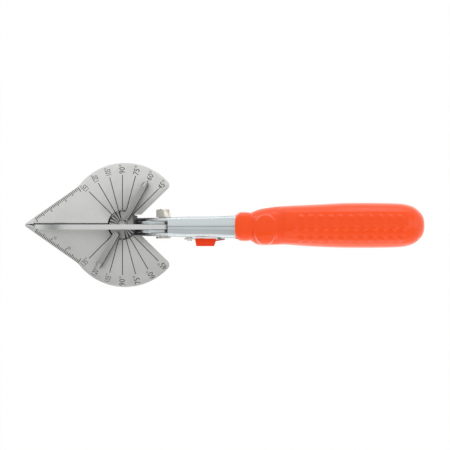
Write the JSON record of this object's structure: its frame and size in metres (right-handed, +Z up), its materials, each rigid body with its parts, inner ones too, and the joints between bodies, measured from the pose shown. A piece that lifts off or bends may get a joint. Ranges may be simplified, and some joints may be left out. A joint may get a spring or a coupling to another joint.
{
  "type": "mitre shears",
  "caption": "Hand shears with a graduated heart-shaped table in two halves, a swivelling angle fence, a single-bevel blade, pressed steel levers and orange moulded grips.",
  "frame": {"origin": "on the floor under the middle of the tool's length, on the centre line of the table", "axes": "+X from the blade tip to the handle ends, +Y to the side of the pivot nut, +Z up, away from the floor"},
  "size_m": [0.224, 0.071, 0.0628],
  "materials": {
    "table_steel": "matt satin plated steel with fine grain",
    "lever_steel": "smooth silver coated sheet steel",
    "blade_steel": "ground tool steel",
    "fastener_steel": "bright zinc plated steel",
    "dark_steel": "dark oxide steel",
    "grip_plastic": "glossy orange-red moulded plastic",
    "latch_plastic": "red moulded plastic",
    "knob_plastic": "black moulded plastic"
  },
  "bodies": {
    "table_lever": {"upper_shell_left": "lever_steel", "upper_shell_right": "lever_steel", "upper_grip": "grip_plastic", "jaw_block": "dark_steel", "jaw_rivet_1": "fastener_steel", "jaw_rivet_2": "fastener_steel", "table_bracket": "dark_steel", "bracket_screw_1": "fastener_steel", "bracket_screw_2": "fastener_steel", "table_half_left": "table_steel", "table_half_right": "table_steel", "table_screw_1": "fastener_steel", "table_screw_2": "fastener_steel", "table_screw_3": "fastener_steel", "table_screw_4": "fastener_steel", "pivot_bolt": "fastener_steel", "pivot_nut": "fastener_steel", "stop_pin": "fastener_steel", "spring_seat_upper": "dark_steel", "latch_rivet": "fastener_steel", "clamp_washer": "fastener_steel", "return_spring": "fastener_steel"},
    "blade_lever": {"lower_shell_left": "lever_steel", "lower_shell_right": "lever_steel", "lower_grip": "grip_plastic", "blade": "blade_steel", "blade_rivet_1": "fastener_steel", "blade_rivet_2": "fastener_steel", "catch_pin": "fastener_steel", "spring_seat_lower": "dark_steel"},
    "fence": {"index_disc": "table_steel", "fence_arm_left": "table_steel", "fence_arm_right": "table_steel", "fence_screw_1": "fastener_steel", "fence_screw_2": "fastener_steel", "fence_pivot_screw": "fastener_steel"},
    "knob": {"clamp_knob": "knob_plastic", "knob_insert": "fastener_steel"},
    "latch": {"latch_plate": "dark_steel", "latch_tab": "latch_plastic"}
  },
  "joints": [
    {"name": "main_hinge", "type": "hinge", "parent": "table_lever", "child": "blade_lever", "pos_m": [-0.0325, -0.0011, 0.03], "axis": [0, 1, 0], "range_deg": [0, 28], "deforming": ["return_spring"]},
    {"name": "fence_turn", "type": "hinge", "parent": "table_lever", "child": "fence", "pos_m": [-0.0563, 0, 0.02], "axis": [0, 0, 1], "range_deg": [-15, 75]},
    {"name": "knob_turn", "type": "hinge", "parent": "table_lever", "child": "knob", "pos_m": [-0.0563, 0, 0.004], "axis": [0, 0, 1], "continuous": true},
    {"name": "latch_turn", "type": "hinge", "parent": "table_lever", "child": "latch", "pos_m": [-0.0175, -0.0075, 0.0386], "axis": [0, -1, 0], "range_deg": [0, 30]}
  ]
}
